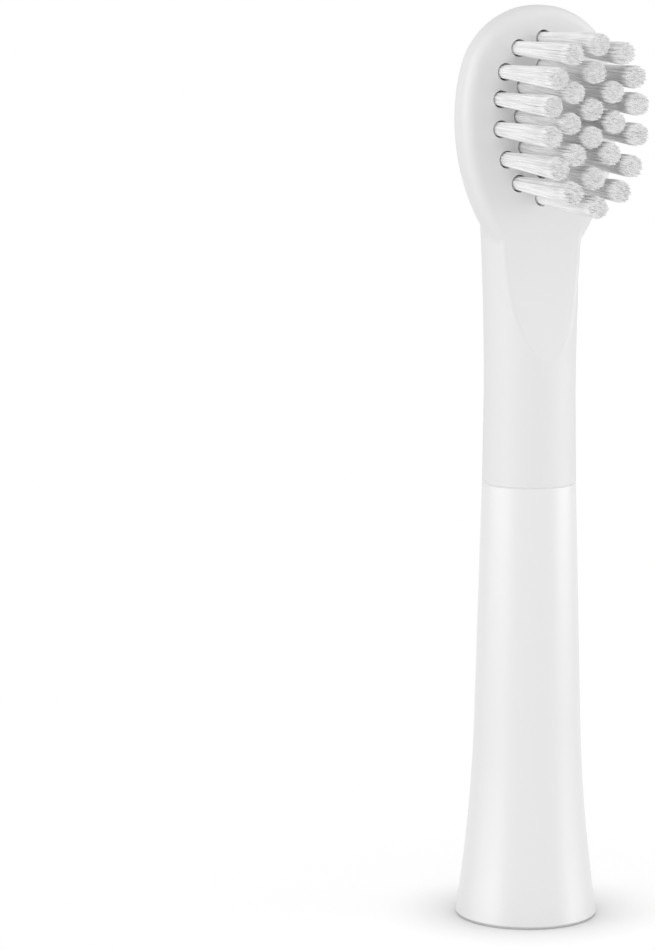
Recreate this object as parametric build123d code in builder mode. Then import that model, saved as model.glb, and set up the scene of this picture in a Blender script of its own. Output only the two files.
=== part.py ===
from build123d import *
import os
from math import atan2, degrees, sqrt

# Electric toothbrush head, standing on its sleeve with +Z up and the bristles towards -Y.
# The origin is the centre of the sleeve's mouth. All sizes are in millimetres.

# Flared sleeve, outside
sleeve_height = 36.7
base_radius = 5.95
flare_height = 16.4
flare_radius = 4.45
seam_radius = 3.9
base_chamfer = 0.25
seam_chamfer = 0.08

# Mouth that slips over the collar of a handle
mouth_radius = 4.6
mouth_depth = 3.3

# Drive socket that takes the shaft of a handle
shaft_radius = 1.85
shaft_clearance = 0.05
pilot_length = 8.0
key_radius = 1.65
key_flat = 1.05
key_length = 7.5
socket_roof = 1.6
flange_radius = 4.25
flange_thickness = 1.2
barrel_radius = 3.3
boss_length = 4.0
socket_chamfer = 0.3

# Lugs of the sleeve that stop the socket from turning
lug_width = 1.4
lug_reach = 0.6

# Leaf spring in a window of the socket
spring_width = 1.6
spring_thickness = 0.25
spring_press = 0.1
spring_end_room = 0.3

# Neck
waist_radius = 3.79
waist_rise = 7.5
root_radius = 4.15
root_rise = 21.0
nose_rise = 8.0
nose_shoulder = 5.0
nose_tip_radius = 1.0
core_radius = 1.8
core_rise = 9.0
core_chamfer = 0.6

# Snap spigot of the neck, inside the sleeve
spigot_radius = 3.0
lip_reach = 0.25
lip_height = 1.1
finger_gap = 1.2
finger_length = 6.0
spigot_key_reach = 0.7
spigot_key_length = 4.5

# Brush plate, with its outline measured from its widest line
plate_rise = 30.2
plate_half_width = 6.95
plate_crown = 9.1
plate_crown_side_radius = 16.4
plate_flank_radius = 17.5
plate_flank_run = 3.95
plate_thickness = 3.97
face_setback = 2.31
front_round = 0.9
back_round = 2.2
neck_blend = 1.2

# Scoop that runs from the plate's face out through the front of the neck
scoop_drop = 9.9
scoop_radius = 33.0
scoop_round = 0.4
scoop_run_out = 1.0

# Tuft pattern: two egg-shaped rings of tufts round a middle pair
tuft_side_margin = 3.15
tuft_end_margin = 2.65
ring_side_gap = 1.83
ring_end_gap = 2.25
middle_pitch = 2.2
middle_lift = 0.15

# Tufts down the right side of each ring, as shares of its half width and half height
outer_side = [(0.58, 0.885), (0.89, 0.59), (0.99, 0.25), (0.99, -0.125), (0.84, -0.51), (0.55, -0.815)]
inner_side = [(0.875, 0.62), (0.985, 0.045), (0.78, -0.55)]

# Tufts, trimmed to a cup that is lowest in the middle
hole_radius = 0.72
hole_depth = 2.5
tuft_root_radius = 0.63
tuft_tip_radius = 0.95
tuft_sides = 10
tuft_length = 9.6
trim_rise_ends = 1.15
trim_rise_sides = 0.5
tip_chamfer = 0.18

# Metal anchor in the fold of each tuft
anchor_width = 1.38
anchor_thickness = 0.25
anchor_height = 1.3
anchor_fold = 0.45

# Clearances, each on one side
seat_clearance = 0.05
anchor_clearance = 0.02
end_clearance = 0.2

# Heights that follow from the sizes above
flange_top = mouth_depth + flange_thickness
pilot_top = mouth_depth + pilot_length
key_top = pilot_top + key_length
barrel_top = key_top + socket_roof
spigot_foot = barrel_top + end_clearance
snap_ledge = spigot_foot + lip_height
waist_height = sleeve_height + waist_rise
root_height = sleeve_height + root_rise
plate_height = sleeve_height + plate_rise
plate_top = plate_height + plate_crown
scoop_height = plate_height - scoop_drop
core_top = sleeve_height + core_rise

# Half sizes of the two rings of tufts
outer_half_width = plate_half_width - tuft_side_margin
outer_half_height = plate_crown - tuft_end_margin
inner_half_width = outer_half_width - ring_side_gap
inner_half_height = outer_half_height - ring_end_gap

# Bores of the sleeve and the socket
pilot_radius = shaft_radius + shaft_clearance
flange_seat_radius = flange_radius + seat_clearance
socket_bore_radius = barrel_radius + seat_clearance
spigot_bore_radius = spigot_radius + seat_clearance
boss_radius = core_radius - seat_clearance

# Face of the plate, with X to the right and Z up, centred on the plate's widest line
face_plane = Plane(origin=(0, -face_setback, plate_height), x_dir=(1, 0, 0), z_dir=(0, -1, 0))


def end_radius(half_width, reach, side_radius):
    """Radius of the arc that closes an oval, running smoothly into its side arcs."""
    spare = 2 * half_width * side_radius - half_width**2 - reach**2
    return spare / (2 * (side_radius - reach))


def arc_joint(half_width, reach, side_radius):
    """Point where the side arc of an oval meets its end arc, above the widest line."""
    side_centre = Vector(half_width - side_radius, 0)
    end_centre = Vector(0, reach - end_radius(half_width, reach, side_radius))
    return side_centre + (end_centre - side_centre).normalized() * side_radius


def ring_places(half_width, half_height, side_shares):
    """Places round a ring of tufts, from the middle of the field: top, right side, foot, left side."""
    right = [Vector(half_width * across, half_height * up) for across, up in side_shares]
    left = [Vector(-place.X, place.Y) for place in right]
    return [Vector(0, half_height), *right, Vector(0, -half_height), *left]


def tuft_reach(place):
    """Length of a tuft beyond the face, from the cupped trim."""
    ends = trim_rise_ends * (place.Y / outer_half_height) ** 2
    sides = trim_rise_sides * (place.X / outer_half_width) ** 2
    return tuft_length + ends + sides


outer_ring = ring_places(outer_half_width, outer_half_height, outer_side)
inner_ring = ring_places(inner_half_width, inner_half_height, inner_side)
middle_pair = [Vector(0, middle_lift + middle_pitch / 2), Vector(0, middle_lift - middle_pitch / 2)]
tuft_places = outer_ring + inner_ring + middle_pair

# Sleeve: a revolved shell with a stepped bore
with BuildPart() as sleeve:
    with BuildSketch(Plane.XZ):
        with BuildLine():
            taper = Line((seam_radius, sleeve_height), (flare_radius, flare_height))
            Bezier(taper @ 1, taper @ 1 + (taper % 1) * flare_height / 2, (base_radius, 0))
            Polyline(
                (base_radius, 0),
                (mouth_radius, 0),
                (mouth_radius, mouth_depth),
                (flange_seat_radius, mouth_depth),
                (flange_seat_radius, flange_top),
                (socket_bore_radius, flange_top),
                (socket_bore_radius, snap_ledge),
                (spigot_bore_radius, snap_ledge),
                (spigot_bore_radius, sleeve_height),
                (seam_radius, sleeve_height),
            )
        make_face()
    revolve(axis=Axis.Z)
    base_edges = sleeve.edges().filter_by(GeomType.CIRCLE).group_by(Axis.Z)[0]
    chamfer(base_edges.sort_by(SortBy.RADIUS)[-1], base_chamfer)
    seam_edges = sleeve.edges().filter_by(GeomType.CIRCLE).group_by(Axis.Z)[-1]
    chamfer(seam_edges.sort_by(SortBy.RADIUS)[-1], seam_chamfer)
    # Two lugs in the flange seat
    with BuildSketch(Plane.XY.offset(mouth_depth)):
        Circle(flange_seat_radius + seat_clearance)
        Circle(flange_seat_radius - lug_reach, mode=Mode.SUBTRACT)
        Rectangle(2 * base_radius, lug_width, mode=Mode.INTERSECT)
    extrude(amount=flange_thickness)
    # Two keys in the spigot bore
    with BuildSketch(Plane.XY.offset(snap_ledge)):
        Circle(spigot_bore_radius + seat_clearance)
        Circle(spigot_bore_radius - spigot_key_reach, mode=Mode.SUBTRACT)
        Rectangle(2 * base_radius, finger_gap - 2 * seat_clearance, mode=Mode.INTERSECT)
    extrude(amount=spigot_key_length)
sleeve.part.label = "flared_sleeve"

# Plate: the oval outline with rounded rims
with BuildPart() as plate:
    with BuildSketch(face_plane):
        with BuildLine():
            crown_joint = arc_joint(plate_half_width, plate_crown, plate_crown_side_radius)
            foot_drop = sqrt(plate_flank_radius**2 - (plate_flank_radius - plate_flank_run) ** 2)
            crown = TangentArc((0, plate_crown), crown_joint, tangent=(1, 0))
            side = TangentArc(crown @ 1, (plate_half_width, 0), tangent=crown % 1)
            flank = TangentArc(side @ 1, (plate_half_width - plate_flank_run, -foot_drop), tangent=(0, -1))
            Line(flank @ 1, (0, -foot_drop))
            mirror(about=Plane.YZ)
        make_face()
    extrude(amount=-plate_thickness)
    foot_edges = plate.edges().group_by(Axis.Z)[0]
    front_rim = plate.faces().sort_by(Axis.Y)[0].edges() - foot_edges
    fillet(front_rim.sort_by(Axis.X), front_round)
    back_rim = plate.faces().sort_by(Axis.Y)[-1].edges() - foot_edges
    fillet(back_rim.sort_by(Axis.X), back_round)

# Neck: a revolved stem with a rounded nose behind the plate and a snap spigot below the seam
with BuildPart() as neck:
    with BuildSketch(Plane.XZ):
        with BuildLine():
            waist = Line((seam_radius, sleeve_height), (waist_radius, waist_height))
            stem = TangentArc(waist @ 1, (root_radius, root_height), tangent=(0, 1))
            nose = Bezier(
                stem @ 1,
                (root_radius, root_height + nose_shoulder),
                (nose_tip_radius, root_height + nose_rise),
            )
            Polyline(
                nose @ 1,
                (0, root_height + nose_rise),
                (0, spigot_foot),
                (spigot_radius, spigot_foot),
                (spigot_radius + lip_reach, snap_ledge),
                (spigot_radius, snap_ledge),
                (spigot_radius, sleeve_height),
                waist @ 0,
            )
        make_face()
    revolve(axis=Axis.Z)
    seam_edges = neck.edges().filter_by_position(Axis.Z, sleeve_height, sleeve_height)
    chamfer(seam_edges.sort_by(SortBy.RADIUS)[-1], seam_chamfer)
    # Scoop, level with the plate's face at its top and run out through the front
    with BuildSketch(Plane.YZ):
        with BuildLine():
            scoop_out = root_radius + scoop_run_out
            scoop_depth = scoop_out - face_setback
            scoop_foot = scoop_height - sqrt(scoop_radius**2 - (scoop_radius - scoop_depth) ** 2)
            ramp = TangentArc((-face_setback, scoop_height), (-scoop_out, scoop_foot), tangent=(0, -1))
            Polyline(ramp @ 1, (-scoop_out, plate_top), (-face_setback, plate_top), ramp @ 0)
        make_face()
    extrude(amount=plate_half_width, both=True, mode=Mode.SUBTRACT)
    scoop_rim = neck.edges().filter_by_position(Axis.Y, -scoop_out, -face_setback)
    fillet(scoop_rim.filter_by(GeomType.LINE, reverse=True), scoop_round)
    # Join of the neck and the plate, blended all round except where the two are level at the front
    add(plate.part)
    blend_front = scoop_round / 2 - face_setback
    blend_edges = neck.edges(Select.NEW).filter_by_position(Axis.Y, blend_front, root_radius)
    fillet(blend_edges.sort_by(Axis.X).sort_by(Axis.Y), neck_blend)
    # Core that leaves an even wall in the neck, and slots that part the snap fingers
    with BuildSketch(Plane.XZ):
        Polygon(
            (0, spigot_foot),
            (core_radius, spigot_foot),
            (core_radius, core_top - core_chamfer),
            (core_radius - core_chamfer, core_top),
            (0, core_top),
            align=None,
        )
    revolve(axis=Axis.Z, mode=Mode.SUBTRACT)
    with BuildSketch(Plane.XY.offset(spigot_foot)):
        Rectangle(2 * base_radius, finger_gap)
        Rectangle(finger_gap, 2 * base_radius)
    extrude(amount=finger_length, mode=Mode.SUBTRACT)
    # Blind tuft holes
    with BuildSketch(face_plane):
        with Locations(*tuft_places):
            Circle(hole_radius)
    extrude(amount=-hole_depth, mode=Mode.SUBTRACT)
neck.part.label = "neck_and_brush_plate"

# Drive socket: a flanged barrel with a round lead-in, a keyed bore and a locating boss
with BuildPart() as socket:
    with BuildSketch(Plane.XZ):
        Polygon(
            (0, mouth_depth),
            (flange_radius, mouth_depth),
            (flange_radius, flange_top),
            (barrel_radius, flange_top),
            (barrel_radius, barrel_top - socket_chamfer),
            (barrel_radius - socket_chamfer, barrel_top),
            (boss_radius, barrel_top),
            (boss_radius, barrel_top + boss_length - socket_chamfer),
            (boss_radius - socket_chamfer, barrel_top + boss_length),
            (0, barrel_top + boss_length),
            align=None,
        )
    revolve(axis=Axis.Z)
    with BuildSketch(Plane.XY.offset(mouth_depth)):
        Circle(pilot_radius)
    extrude(amount=pilot_length, mode=Mode.SUBTRACT)
    with BuildSketch(Plane.XY.offset(pilot_top)):
        Circle(key_radius)
        with Locations((0, key_flat)):
            Rectangle(2 * key_radius, key_radius, align=(Align.CENTER, Align.MIN), mode=Mode.SUBTRACT)
    extrude(amount=key_length, mode=Mode.SUBTRACT)
    # Notches in the flange for the lugs of the sleeve
    with BuildSketch(Plane.XY.offset(mouth_depth)):
        Circle(flange_radius + seat_clearance)
        Circle(flange_seat_radius - lug_reach - seat_clearance, mode=Mode.SUBTRACT)
        Rectangle(2 * base_radius, lug_width + 2 * seat_clearance, mode=Mode.INTERSECT)
    extrude(amount=flange_thickness, mode=Mode.SUBTRACT)
    # Window for the spring, from the flat out through the barrel
    with BuildSketch(Plane.XZ.offset(-barrel_radius)):
        with Locations((0, (pilot_top + key_top) / 2)):
            Rectangle(spring_width + 2 * seat_clearance, key_length - 2 * spring_end_room)
    extrude(amount=barrel_radius - key_flat + seat_clearance, mode=Mode.SUBTRACT)
socket.part.label = "drive_socket"

# Shaft spring: a leaf bowed inwards, with its ends against the bore of the sleeve
with BuildPart() as spring:
    with BuildSketch(Plane.YZ):
        with BuildLine():
            spring_half = key_length / 2 - spring_end_room - seat_clearance - spring_thickness
            spring_middle = (pilot_top + key_top) / 2
            spring_back = sqrt(socket_bore_radius**2 - (spring_width / 2) ** 2) - seat_clearance
            bow = ThreePointArc(
                (spring_back, spring_middle - spring_half),
                (key_flat - spring_press + spring_thickness, spring_middle),
                (spring_back, spring_middle + spring_half),
            )
            offset(bow, spring_thickness, side=Side.LEFT)
        make_face()
    extrude(amount=spring_width / 2, both=True)
spring.part.label = "shaft_spring"

# Anchors: one strip across each hole, in the fold of its tuft
with BuildPart() as anchors:
    with BuildSketch(face_plane.offset(anchor_fold - hole_depth)):
        with Locations(*tuft_places):
            Rectangle(anchor_width, anchor_thickness)
    extrude(amount=anchor_height)
anchors.part.label = "tuft_anchors"


def make_tuft(place):
    """One bundle of bristles, from the floor of its hole to its trimmed tip."""
    length = hole_depth + tuft_reach(place)
    flare_angle = degrees(atan2(tuft_tip_radius - tuft_root_radius, length))
    with BuildPart() as tuft:
        with BuildSketch(face_plane.offset(-hole_depth)):
            with Locations(place):
                RegularPolygon(tuft_root_radius, tuft_sides)
        extrude(amount=length, taper=-flare_angle)
        chamfer(tuft.faces().sort_by(Axis.Y)[0].edges(), tip_chamfer)
        with BuildSketch(face_plane.offset(anchor_fold - hole_depth)):
            with Locations(place):
                Rectangle(anchor_width, anchor_thickness + 2 * anchor_clearance)
        extrude(amount=anchor_height + anchor_clearance, mode=Mode.SUBTRACT)
    return tuft.part


os.makedirs("parts", exist_ok=True)
export_step(sleeve.part, "parts/flared_sleeve.step")
export_step(neck.part, "parts/neck_and_brush_plate.step")
export_step(socket.part, "parts/drive_socket.step")
export_step(spring.part, "parts/shaft_spring.step")
export_step(anchors.part, "parts/tuft_anchors.step")
for number, place in enumerate(tuft_places, start=1):
    tuft_part = make_tuft(place)
    tuft_part.label = f"tuft_{number:02d}"
    export_step(tuft_part, f"parts/tuft_{number:02d}.step")
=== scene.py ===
"""Looks of an electric toothbrush head: gloss sleeve, satin neck, nylon tufts and a white studio."""

import math
import random

import bmesh
import bpy
from mathutils import Matrix, Vector


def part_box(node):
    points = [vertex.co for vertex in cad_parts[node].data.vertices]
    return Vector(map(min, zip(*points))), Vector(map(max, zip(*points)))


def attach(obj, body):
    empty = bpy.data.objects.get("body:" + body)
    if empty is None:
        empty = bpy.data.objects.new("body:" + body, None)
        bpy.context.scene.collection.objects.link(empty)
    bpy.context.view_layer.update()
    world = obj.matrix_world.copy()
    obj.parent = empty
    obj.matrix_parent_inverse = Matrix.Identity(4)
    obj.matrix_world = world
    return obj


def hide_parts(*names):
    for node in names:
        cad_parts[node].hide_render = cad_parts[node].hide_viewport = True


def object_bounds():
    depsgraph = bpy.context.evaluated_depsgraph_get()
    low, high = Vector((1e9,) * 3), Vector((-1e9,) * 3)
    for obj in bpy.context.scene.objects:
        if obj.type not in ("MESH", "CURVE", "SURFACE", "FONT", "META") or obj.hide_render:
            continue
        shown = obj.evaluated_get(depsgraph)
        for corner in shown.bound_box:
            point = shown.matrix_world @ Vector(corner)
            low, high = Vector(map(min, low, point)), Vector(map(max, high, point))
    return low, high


bl_info = {
    "name": "Toothbrush Head",
    "version": (1, 0, 0),
    "blender": (4, 5, 0),
    "location": "View3D > Sidebar > Brush Head",
    "description": "Dresses a packed electric toothbrush head and sets it in a white studio",
    "category": "Object",
}

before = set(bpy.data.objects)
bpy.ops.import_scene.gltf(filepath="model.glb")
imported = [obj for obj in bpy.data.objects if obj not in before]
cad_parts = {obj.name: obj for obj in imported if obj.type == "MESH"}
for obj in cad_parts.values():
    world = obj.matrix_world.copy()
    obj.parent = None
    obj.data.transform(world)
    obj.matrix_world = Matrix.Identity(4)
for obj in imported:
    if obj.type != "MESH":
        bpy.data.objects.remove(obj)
cad_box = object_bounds()

BODY = "root"
MM = 0.001
TUFT_NODES = sorted(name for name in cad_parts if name.startswith("tuft_") and name[-2:].isdigit())


def linear(hex_colour):
    """Linear RGBA of an sRGB colour written as #rrggbb."""
    channels = [int(hex_colour[start : start + 2], 16) / 255 for start in (1, 3, 5)]
    return [c / 12.92 if c <= 0.04045 else ((c + 0.055) / 1.055) ** 2.4 for c in channels] + [1.0]


class BristleSettings(bpy.types.PropertyGroup):
    """Sizes of the filaments in each tuft."""

    filaments: bpy.props.IntProperty(
        name="Filaments",
        description="Filaments in one tuft",
        default=110,
        min=7,
        max=150,
    )
    diameter: bpy.props.FloatProperty(
        name="Diameter",
        description="Diameter of a filament",
        default=0.19 * MM,
        unit="LENGTH",
        precision=5,
    )
    hole_depth: bpy.props.FloatProperty(
        name="Hole depth",
        description="Depth of a tuft's hole in the plate",
        default=2.5 * MM,
        unit="LENGTH",
    )
    root_radius: bpy.props.FloatProperty(
        name="Root radius",
        description="Radius of a tuft in its hole",
        default=0.63 * MM,
        unit="LENGTH",
        precision=5,
    )
    trim_scatter: bpy.props.FloatProperty(
        name="Trim scatter",
        description="Spread of the trimmed ends",
        default=0.15 * MM,
        unit="LENGTH",
        precision=5,
    )
    tip_crown: bpy.props.FloatProperty(
        name="Tip crown",
        description="Drop of the outer ends",
        default=0.2 * MM,
        unit="LENGTH",
        precision=5,
    )
    sway: bpy.props.FloatProperty(
        name="Sway",
        description="Sideways spread of a filament's end",
        default=0.04 * MM,
        unit="LENGTH",
        precision=5,
    )
    seed: bpy.props.IntProperty(name="Seed", description="Start of the random spread", default=7)


class FinishSettings(bpy.types.PropertyGroup):
    """Colours of the mouldings, the filaments and the metal parts."""

    sleeve_colour: bpy.props.FloatVectorProperty(
        name="Sleeve",
        description="Gloss ABS of the sleeve",
        default=linear("#ebebeb"),
        subtype="COLOR",
        size=4,
    )
    neck_colour: bpy.props.FloatVectorProperty(
        name="Neck",
        description="Satin polypropylene of the neck and its plate",
        default=linear("#e8e8e8"),
        subtype="COLOR",
        size=4,
    )
    filament_colour: bpy.props.FloatVectorProperty(
        name="Filaments",
        description="Drawn nylon of the tufts",
        default=linear("#fafafa"),
        subtype="COLOR",
        size=4,
    )
    socket_colour: bpy.props.FloatVectorProperty(
        name="Socket",
        description="Natural acetal of the socket",
        default=linear("#dfdfdb"),
        subtype="COLOR",
        size=4,
    )
    steel_colour: bpy.props.FloatVectorProperty(
        name="Spring",
        description="Rolled stainless steel of the spring",
        default=linear("#c9c8c5"),
        subtype="COLOR",
        size=4,
    )
    brass_colour: bpy.props.FloatVectorProperty(
        name="Anchors",
        description="Cut brass strip of the anchors",
        default=linear("#dcc58a"),
        subtype="COLOR",
        size=4,
    )


class StageSettings(bpy.types.PropertyGroup):
    """Light, floor and camera."""

    dome_front: bpy.props.FloatProperty(
        name="Dome front",
        description="Strength of the soft light from the front",
        default=0.97,
        min=0,
    )
    dome_back: bpy.props.FloatProperty(
        name="Dome back",
        description="Strength of the soft light from behind",
        default=0.65,
        min=0,
    )
    left_strip: bpy.props.FloatProperty(
        name="Left strip",
        description="Power of the gloss strip on the left",
        default=2.2,
        unit="POWER",
    )
    right_strip: bpy.props.FloatProperty(
        name="Right strip",
        description="Power of the gloss strip on the right",
        default=2.3,
        unit="POWER",
    )
    low_fill: bpy.props.FloatProperty(
        name="Low fill",
        description="Power of the lamp low in front of the bristles",
        default=0.17,
        unit="POWER",
    )
    left_key: bpy.props.FloatProperty(
        name="Left key",
        description="Power of the soft lamp at the left",
        default=0.43,
        unit="POWER",
    )
    right_key: bpy.props.FloatProperty(
        name="Right key",
        description="Power of the soft lamp at the right",
        default=0.19,
        unit="POWER",
    )
    floor_colour: bpy.props.FloatVectorProperty(
        name="Floor",
        description="White paper of the floor",
        default=linear("#f8f8f8"),
        subtype="COLOR",
        size=4,
    )
    lens: bpy.props.FloatProperty(
        name="Lens",
        description="Focal length of the camera",
        default=155.5,
        subtype="DISTANCE_CAMERA",
    )


def add_node(tree, kind, inputs=None, **settings):
    """Add a node with its settings, and fill or link its inputs."""
    node = tree.nodes.new(kind)
    for name, value in settings.items():
        setattr(node, name, value)
    for name, value in (inputs or {}).items():
        if isinstance(value, bpy.types.NodeSocket):
            tree.links.new(value, node.inputs[name])
        else:
            node.inputs[name].default_value = value
    return node


def new_material(name):
    """An empty material, its node tree and its object coordinates."""
    material = bpy.data.materials.new(name)
    material.use_nodes = True
    tree = material.node_tree
    tree.nodes.clear()
    coordinates = add_node(tree, "ShaderNodeTexCoord")
    return material, tree, coordinates.outputs["Object"]


def finish_material(tree, shader):
    """Link a shader to the material's output."""
    add_node(tree, "ShaderNodeOutputMaterial", {"Surface": shader.outputs[0]})


# A noise texture keeps mostly to the middle of its range
NOISE_RANGE = {"From Min": 0.3, "From Max": 0.7}


def gloss_abs(colour):
    """Polished moulded ABS: a clean bright gloss with a faint ripple from the flow of the melt."""
    material, tree, place = new_material("gloss_moulded_abs")
    ripple_size = 6.0 * MM
    ripple_depth = 0.01 * MM
    ripple = add_node(tree, "ShaderNodeTexNoise", {"Vector": place, "Scale": 1 / ripple_size, "Detail": 1.0})
    sheen = add_node(
        tree,
        "ShaderNodeMapRange",
        {"Value": ripple.outputs["Fac"], **NOISE_RANGE, "To Min": 0.29, "To Max": 0.31},
    )
    bump = add_node(
        tree,
        "ShaderNodeBump",
        {"Height": ripple.outputs["Fac"], "Strength": 0.02, "Distance": ripple_depth},
    )
    shader = add_node(
        tree,
        "ShaderNodeBsdfPrincipled",
        {
            "Base Color": colour,
            "Roughness": sheen.outputs["Result"],
            "IOR": 1.54,
            "Normal": bump.outputs["Normal"],
        },
    )
    finish_material(tree, shader)
    return material


def satin_polypropylene(colour):
    """Moulded polypropylene from a spark-eroded tool: a soft satin with a very fine even grain."""
    material, tree, place = new_material("satin_moulded_polypropylene")
    # The real grain is about 0.03 mm and is drawn coarser, so that it shows
    grain_size = 0.16 * MM
    grain_depth = 0.01 * MM
    grain = add_node(tree, "ShaderNodeTexNoise", {"Vector": place, "Scale": 1 / grain_size, "Detail": 2.0})
    sheen = add_node(
        tree,
        "ShaderNodeMapRange",
        {"Value": grain.outputs["Fac"], **NOISE_RANGE, "To Min": 0.54, "To Max": 0.62},
    )
    bump = add_node(
        tree,
        "ShaderNodeBump",
        {"Height": grain.outputs["Fac"], "Strength": 0.06, "Distance": grain_depth},
    )
    shader = add_node(
        tree,
        "ShaderNodeBsdfPrincipled",
        {
            "Base Color": colour,
            "Roughness": sheen.outputs["Result"],
            "IOR": 1.49,
            "Specular IOR Level": 0.3,
            "Normal": bump.outputs["Normal"],
        },
    )
    finish_material(tree, shader)
    return material


def drawn_nylon(colour):
    """Drawn nylon filament: white and smooth along its length, with dim streaks along it that are painted
    shade of the gaps between strands.
    """
    material, tree, place = new_material("drawn_nylon_filament")
    strand_size = 0.17 * MM
    # The filaments point along Y, so the tone hardly changes that way
    strand_stretch = (1.0, 0.02, 1.0)
    # Share of the white left in the dim streaks, which are painted shade of the gaps between strands
    gap_shade_share = 0.85
    stretched = add_node(tree, "ShaderNodeMapping", {"Vector": place, "Scale": strand_stretch})
    strands = add_node(
        tree,
        "ShaderNodeTexNoise",
        {"Vector": stretched.outputs["Vector"], "Scale": 1 / strand_size, "Detail": 1.0},
    )
    # More of the filament is white than painted shade
    unshaded_share = add_node(
        tree,
        "ShaderNodeMapRange",
        {"Value": strands.outputs["Fac"], "From Min": 0.35, "From Max": 0.55},
    )
    gap_shade_colour = [channel * gap_shade_share for channel in colour[:3]] + [1.0]
    tone = add_node(
        tree,
        "ShaderNodeMix",
        {"Factor": unshaded_share.outputs["Result"], "A": gap_shade_colour, "B": colour},
        data_type="RGBA",
    )
    shader = add_node(
        tree,
        "ShaderNodeBsdfPrincipled",
        {
            "Base Color": tone.outputs["Result"],
            "Roughness": 0.55,
            "IOR": 1.53,
            "Specular IOR Level": 0.2,
        },
    )
    finish_material(tree, shader)
    return material


def natural_acetal(colour):
    """Moulded natural acetal: slightly waxy, with a shine that is cloudy from place to place."""
    material, tree, place = new_material("natural_moulded_acetal")
    cloud_size = 2.5 * MM
    clouds = add_node(tree, "ShaderNodeTexNoise", {"Vector": place, "Scale": 1 / cloud_size, "Detail": 2.0})
    sheen = add_node(
        tree,
        "ShaderNodeMapRange",
        {"Value": clouds.outputs["Fac"], **NOISE_RANGE, "To Min": 0.34, "To Max": 0.44},
    )
    shader = add_node(
        tree,
        "ShaderNodeBsdfPrincipled",
        {"Base Color": colour, "Roughness": sheen.outputs["Result"], "IOR": 1.48},
    )
    finish_material(tree, shader)
    return material


def rolled_metal(name, colour, line_size):
    """Cold-rolled strip: fine lines along the rolling direction break up the shine."""
    material, tree, place = new_material(name)
    line_stretch = (1.0, 1.0, 0.05)
    stretched = add_node(tree, "ShaderNodeMapping", {"Vector": place, "Scale": line_stretch})
    lines = add_node(
        tree,
        "ShaderNodeTexNoise",
        {"Vector": stretched.outputs["Vector"], "Scale": 1 / line_size, "Detail": 2.0},
    )
    sheen = add_node(
        tree,
        "ShaderNodeMapRange",
        {"Value": lines.outputs["Fac"], **NOISE_RANGE, "To Min": 0.22, "To Max": 0.4},
    )
    shader = add_node(
        tree,
        "ShaderNodeBsdfPrincipled",
        {"Base Color": colour, "Metallic": 1.0, "Roughness": sheen.outputs["Result"]},
    )
    finish_material(tree, shader)
    return material


def background_rays(tree):
    """Socket that is 1 for the rays that show the white background, and 0 for those that carry light."""
    path = add_node(tree, "ShaderNodeLightPath")
    direct = add_node(
        tree,
        "ShaderNodeMath",
        {0: path.outputs["Is Camera Ray"], 1: path.outputs["Is Glossy Ray"]},
        operation="MAXIMUM",
    )
    through = add_node(
        tree,
        "ShaderNodeMath",
        {0: direct.outputs[0], 1: path.outputs["Is Transmission Ray"]},
        operation="MAXIMUM",
    )
    return through.outputs[0]


def white_paper(colour):
    """Matt white studio paper, with a contact shadow painted into its colour close to what stands on it, and
    pure white further out.

    The fade to white is only what is seen of it, and the light that it throws back is the plain paper's,
    painted shadow included.
    """
    material, tree, place = new_material("white_studio_paper")
    contact_reach = 7.0 * MM
    contact_shadow_grey = (0.3, 0.3, 0.3, 1.0)
    open_white = (1.0, 1.0, 1.0, 1.0)
    lift_strength = 0.19
    fade_start = 7.0 * MM
    fade_end = 36.0 * MM
    # Ambient occlusion paints a contact shadow into the paper's colour, where it is seen and in the light it
    # throws back
    near = add_node(tree, "ShaderNodeAmbientOcclusion", {"Distance": contact_reach})
    painted_contact_shade = add_node(
        tree,
        "ShaderNodeMix",
        {"Factor": near.outputs["AO"], "A": contact_shadow_grey, "B": open_white},
        data_type="RGBA",
    )
    tint = add_node(
        tree,
        "ShaderNodeMix",
        {"Factor": 1.0, "A": painted_contact_shade.outputs["Result"], "B": colour},
        data_type="RGBA",
        blend_type="MULTIPLY",
    )
    paper = add_node(tree, "ShaderNodeBsdfDiffuse", {"Color": tint.outputs["Result"]})
    lit = add_node(tree, "ShaderNodeBsdfDiffuse", {"Color": painted_contact_shade.outputs["Result"]})
    lift = add_node(
        tree, "ShaderNodeEmission", {"Color": painted_contact_shade.outputs["Result"], "Strength": lift_strength}
    )
    shown = add_node(tree, "ShaderNodeAddShader", {0: lit.outputs[0], 1: lift.outputs[0]})
    reach = add_node(tree, "ShaderNodeVectorMath", {0: place}, operation="LENGTH")
    fade = add_node(
        tree,
        "ShaderNodeMapRange",
        {"Value": reach.outputs["Value"], "From Min": fade_start, "From Max": fade_end},
    )
    white = add_node(tree, "ShaderNodeEmission", {"Strength": 1.0})
    seen = add_node(
        tree,
        "ShaderNodeMixShader",
        {0: fade.outputs["Result"], 1: shown.outputs[0], 2: white.outputs[0]},
    )
    surface = add_node(
        tree,
        "ShaderNodeMixShader",
        {0: background_rays(tree), 1: paper.outputs[0], 2: seen.outputs[0]},
    )
    finish_material(tree, surface)
    return material


def dress(node_name, material):
    """Give a CAD node its finish."""
    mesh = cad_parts[node_name].data
    mesh.materials.clear()
    mesh.materials.append(material)


class BRUSHHEAD_OT_sleeve(bpy.types.Operator):
    """Finish the flared sleeve in gloss ABS"""

    bl_idname = "brush_head.sleeve"
    bl_label = "Sleeve"

    def execute(self, context):
        dress("flared_sleeve", gloss_abs(context.scene.brush_head_finish.sleeve_colour))
        return {"FINISHED"}


class BRUSHHEAD_OT_neck(bpy.types.Operator):
    """Finish the neck and its plate in satin polypropylene"""

    bl_idname = "brush_head.neck"
    bl_label = "Neck and plate"

    def execute(self, context):
        dress("neck_and_brush_plate", satin_polypropylene(context.scene.brush_head_finish.neck_colour))
        return {"FINISHED"}


# Spacing of the rolling lines on the two metals
STEEL_LINES = 0.08 * MM
BRASS_LINES = 0.06 * MM


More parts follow.
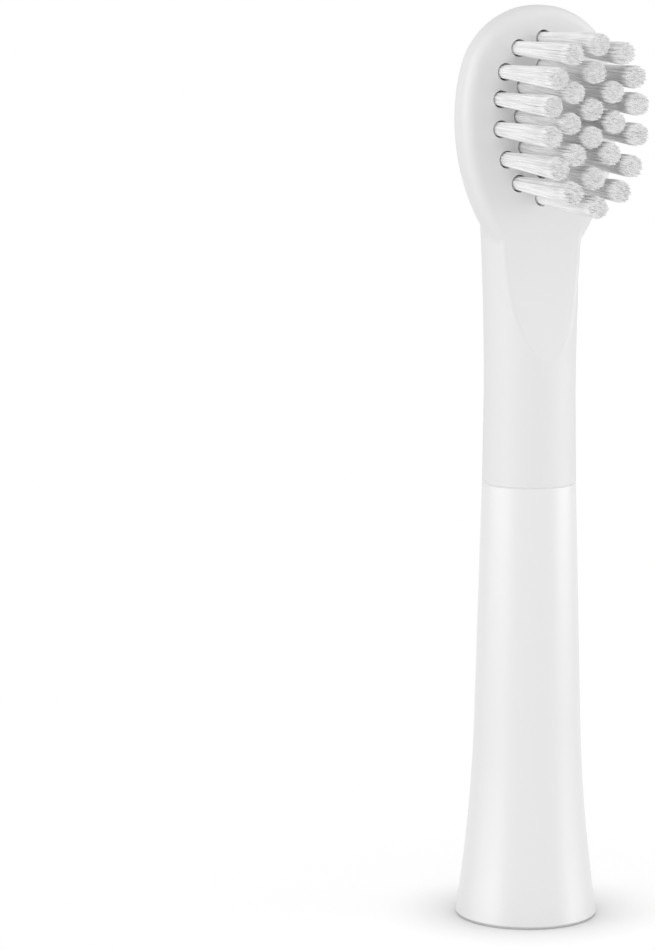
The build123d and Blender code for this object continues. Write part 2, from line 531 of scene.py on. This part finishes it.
class BRUSHHEAD_OT_drive(bpy.types.Operator):
    """Finish the drive socket and its leaf spring"""

    bl_idname = "brush_head.drive"
    bl_label = "Drive socket and spring"

    def execute(self, context):
        finish = context.scene.brush_head_finish
        dress("drive_socket", natural_acetal(finish.socket_colour))
        dress("shaft_spring", rolled_metal("rolled_stainless_steel", finish.steel_colour, STEEL_LINES))
        return {"FINISHED"}


class BRUSHHEAD_OT_anchors(bpy.types.Operator):
    """Finish the metal anchors in the tuft holes"""

    bl_idname = "brush_head.anchors"
    bl_label = "Tuft anchors"

    def execute(self, context):
        finish = context.scene.brush_head_finish
        dress("tuft_anchors", rolled_metal("cut_brass_strip", finish.brass_colour, BRASS_LINES))
        return {"FINISHED"}


# Stations along a filament: share of its free length, and share of its radius.
# The first is the floor of the hole, below the plate's face.
FILAMENT_SIDES = 6
FILAMENT_STATIONS = [(None, 1.0), (0.0, 1.0), (0.5, 1.0), (0.86, 1.0), (0.97, 0.88), (1.0, 0.4)]

# Turn from one filament to the next, which fills a round bundle evenly
GOLDEN_ANGLE = math.pi * (3 - math.sqrt(5))

# Smallest share of its reach in the hole that a root is drawn in to
ROOT_DRAW_IN = 0.8

# How steeply the ends drop towards the rim of a tuft
CROWN_POWER = 4


def filament_mesh():
    """One filament of unit radius, with a ring of points at each whole number along Z."""
    bm = bmesh.new()
    bmesh.ops.create_circle(bm, cap_ends=True, segments=FILAMENT_SIDES, radius=1.0)
    end = list(bm.faces)
    for _ in FILAMENT_STATIONS[1:]:
        # Only the first face stays behind, as the lower end
        grown = bmesh.ops.extrude_face_region(bm, geom=end, use_keep_orig=len(bm.faces) == 1)["geom"]
        end = [item for item in grown if isinstance(item, bmesh.types.BMFace)]
        bmesh.ops.translate(bm, verts=end[0].verts[:], vec=(0, 0, 1))
    bmesh.ops.recalc_face_normals(bm, faces=bm.faces[:])
    for face in bm.faces:
        face.smooth = True
    mesh = bpy.data.meshes.new("filament")
    bm.to_mesh(mesh)
    bm.free()
    return mesh


def bristle_tuft(node_name, filament, settings, spread):
    """A bundle of filaments that fills the place of one CAD tuft."""
    low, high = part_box(node_name)
    centre = (low + high) / 2
    face_y = high.y - settings.hole_depth
    radius = settings.diameter / 2
    root_reach = settings.root_radius - radius
    tip_reach = max(high.x - low.x, high.z - low.z) / 2 - radius
    bm = bmesh.new()
    for number in range(settings.filaments):
        start = len(bm.verts)
        bm.from_mesh(filament)
        bm.verts.ensure_lookup_table()
        ring = math.sqrt((number + 0.5) / settings.filaments)
        turn = number * GOLDEN_ANGLE
        way = Vector((math.cos(turn), 0, math.sin(turn)))
        root = way * root_reach * ring * spread.uniform(ROOT_DRAW_IN, 1.0)
        sway = Vector((spread.uniform(-1, 1), 0, spread.uniform(-1, 1))) * settings.sway
        tip = way * tip_reach * ring + sway
        drop = settings.tip_crown * ring**CROWN_POWER + settings.trim_scatter * spread.random()
        reach = face_y - low.y - drop
        for vert in bm.verts[start:]:
            share, girth = FILAMENT_STATIONS[round(vert.co.z)]
            if share is None:
                along = Vector((centre.x, high.y, centre.z)) + root
            else:
                along = Vector((centre.x, face_y - reach * share, centre.z)) + root.lerp(tip, share)
            vert.co = along + Vector((vert.co.x, 0, vert.co.y)) * radius * girth
    bmesh.ops.recalc_face_normals(bm, faces=bm.faces[:])
    mesh = bpy.data.meshes.new(node_name.replace("tuft", "bristles"))
    bm.to_mesh(mesh)
    bm.free()
    return bpy.data.objects.new(mesh.name, mesh)


class BRUSHHEAD_OT_tufts(bpy.types.Operator):
    """Build each tuft from its nylon filaments"""

    bl_idname = "brush_head.tufts"
    bl_label = "Bristle tufts"

    def execute(self, context):
        settings = context.scene.brush_head_bristles
        nylon = drawn_nylon(list(context.scene.brush_head_finish.filament_colour))
        spread = random.Random(settings.seed)
        filament = filament_mesh()
        for node_name in TUFT_NODES:
            tuft = bristle_tuft(node_name, filament, settings, spread)
            tuft.data.materials.append(nylon)
            context.scene.collection.objects.link(tuft)
            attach(tuft, BODY)
            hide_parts(node_name)
        bpy.data.meshes.remove(filament)
        return {"FINISHED"}


# Camera of the photograph's view, and the point in its middle
CAMERA_PLACE = Vector((-141.33, -305.03, 90.06)) * MM
CAMERA_AIM = Vector((-15.16, 7.02, 37.1)) * MM
SENSOR_WIDTH = 36.0
CLIP_START = 0.01

FLOOR_SIZE = 0.9

# Gloss strips stand on the floor, turned about the head from straight in front of the bristles
STRIP_HEIGHT = 0.4
STRIP_PLACE = Vector((0, -0.4, STRIP_HEIGHT / 2))
LEFT_STRIP_SIZE = (0.52, STRIP_HEIGHT)
RIGHT_STRIP_SIZE = (0.36, STRIP_HEIGHT)
LEFT_STRIP_TURN = -98
RIGHT_STRIP_TURN = 70

# Soft lamps that shine on the middle of the head
LOW_FILL_PLACE = Vector((0.02, -0.42, 0.03))
LOW_FILL_SIZE = (0.4, 0.05)
LEFT_KEY_PLACE = Vector((-0.475, 0.03, 0.12))
RIGHT_KEY_PLACE = Vector((0.412, -0.238, 0.12))
KEY_SIZE = (0.3, 0.3)

# Side that the soft dome is brightest on, low in front of the bristles
DOME_FRONT = Vector((0.0, -0.95, -0.6)).normalized()

# White bristles pass light on from strand to strand many times
LIGHT_BOUNCES = 24


def look_at(place, aim):
    """Matrix of a lamp or camera at a place, turned towards an aim."""
    turn = (aim - place).to_track_quat("-Z", "Y").to_matrix().to_4x4()
    return Matrix.Translation(place) @ turn


def add_lamp(context, name, place, aim, size, power, in_gloss=True, on_matt=True):
    """A rectangular soft lamp, which may light only matt surfaces or show only in the gloss."""
    lamp = bpy.data.lights.new(name, "AREA")
    lamp.shape = "RECTANGLE"
    lamp.size, lamp.size_y = size
    lamp.energy = power
    holder = bpy.data.objects.new(name, lamp)
    holder.matrix_world = look_at(place, aim)
    holder.visible_glossy = in_gloss
    holder.visible_diffuse = on_matt
    context.scene.collection.objects.link(holder)


class BRUSHHEAD_OT_stage(bpy.types.Operator):
    """Set up the floor, the light and the camera"""

    bl_idname = "brush_head.stage"
    bl_label = "Studio"

    def execute(self, context):
        scene = context.scene
        settings = scene.brush_head_stage
        self.add_floor(scene, settings)
        self.add_world(scene, settings)
        self.add_lamps(context, settings)
        self.add_camera(scene, settings)
        scene.view_settings.view_transform = "Standard"
        scene.cycles.max_bounces = LIGHT_BOUNCES
        scene.cycles.diffuse_bounces = LIGHT_BOUNCES
        return {"FINISHED"}

    def add_floor(self, scene, settings):
        """A square sheet of paper under the head."""
        bm = bmesh.new()
        bmesh.ops.create_grid(bm, x_segments=1, y_segments=1, size=FLOOR_SIZE / 2)
        mesh = bpy.data.meshes.new("floor")
        bm.to_mesh(mesh)
        bm.free()
        mesh.materials.append(white_paper(settings.floor_colour))
        floor = bpy.data.objects.new("floor", mesh)
        scene.collection.objects.link(floor)

    def add_world(self, scene, settings):
        """A soft dome, brighter from the front, that is seen as plain white."""
        scene.world = bpy.data.worlds.new("white_dome")
        scene.world.use_nodes = True
        tree = scene.world.node_tree
        tree.nodes.clear()
        way = add_node(tree, "ShaderNodeTexCoord")
        forward = add_node(
            tree,
            "ShaderNodeVectorMath",
            {0: way.outputs["Generated"], 1: DOME_FRONT},
            operation="DOT_PRODUCT",
        )
        soft = add_node(
            tree,
            "ShaderNodeMapRange",
            {
                "Value": forward.outputs["Value"],
                "From Min": -1.0,
                "To Min": settings.dome_back,
                "To Max": settings.dome_front,
            },
        )
        strength = add_node(
            tree,
            "ShaderNodeMix",
            {"Factor": background_rays(tree), "A": soft.outputs["Result"], "B": 1.0},
        )
        dome = add_node(
            tree,
            "ShaderNodeBackground",
            {"Color": (1, 1, 1, 1), "Strength": strength.outputs["Result"]},
        )
        add_node(tree, "ShaderNodeOutputWorld", {"Surface": dome.outputs[0]})

    def add_lamps(self, context, settings):
        """Two strips for the bands in the gloss, a low fill and two soft side lamps."""
        upright = Vector((0, 0, STRIP_PLACE.z))
        for name, turn, size, power in (
            ("left_strip", LEFT_STRIP_TURN, LEFT_STRIP_SIZE, settings.left_strip),
            ("right_strip", RIGHT_STRIP_TURN, RIGHT_STRIP_SIZE, settings.right_strip),
        ):
            place = Matrix.Rotation(math.radians(turn), 3, "Z") @ STRIP_PLACE
            add_lamp(context, name, place, upright, size, power, on_matt=False)
        middle = (cad_box[0] + cad_box[1]) / 2
        add_lamp(
            context, "low_fill", LOW_FILL_PLACE, middle, LOW_FILL_SIZE, settings.low_fill, in_gloss=False
        )
        add_lamp(context, "left_key", LEFT_KEY_PLACE, middle, KEY_SIZE, settings.left_key)
        add_lamp(context, "right_key", RIGHT_KEY_PLACE, middle, KEY_SIZE, settings.right_key)

    def add_camera(self, scene, settings):
        """The camera of the photograph's view."""
        camera = bpy.data.cameras.new("photo_camera")
        camera.lens = settings.lens
        camera.sensor_width = SENSOR_WIDTH
        camera.clip_start = CLIP_START
        holder = bpy.data.objects.new("photo_camera", camera)
        holder.matrix_world = look_at(CAMERA_PLACE, CAMERA_AIM)
        scene.collection.objects.link(holder)
        scene.camera = holder


STEPS = (
    BRUSHHEAD_OT_sleeve,
    BRUSHHEAD_OT_neck,
    BRUSHHEAD_OT_drive,
    BRUSHHEAD_OT_anchors,
    BRUSHHEAD_OT_tufts,
    BRUSHHEAD_OT_stage,
)
SETTINGS = {
    "brush_head_bristles": BristleSettings,
    "brush_head_finish": FinishSettings,
    "brush_head_stage": StageSettings,
}


class BRUSHHEAD_PT_panel(bpy.types.Panel):
    """Lists the steps and their settings"""

    bl_idname = "BRUSHHEAD_PT_panel"
    bl_label = "Brush Head"
    bl_space_type = "VIEW_3D"
    bl_region_type = "UI"
    bl_category = "Brush Head"

    def draw(self, context):
        for step in STEPS:
            self.layout.operator(step.bl_idname)
        for group, cls in SETTINGS.items():
            box = self.layout.box()
            for name in cls.__annotations__:
                box.prop(getattr(context.scene, group), name)


CLASSES = (*SETTINGS.values(), *STEPS, BRUSHHEAD_PT_panel)


def register():
    for cls in CLASSES:
        bpy.utils.register_class(cls)
    for name, cls in SETTINGS.items():
        setattr(bpy.types.Scene, name, bpy.props.PointerProperty(type=cls))


def unregister():
    for name in SETTINGS:
        delattr(bpy.types.Scene, name)
    for cls in reversed(CLASSES):
        bpy.utils.unregister_class(cls)


def main():
    register()
    bpy.ops.brush_head.sleeve()
    bpy.ops.brush_head.neck()
    bpy.ops.brush_head.drive()
    bpy.ops.brush_head.anchors()
    bpy.ops.brush_head.tufts()
    bpy.ops.brush_head.stage()


if __name__ == "__main__":
    main()
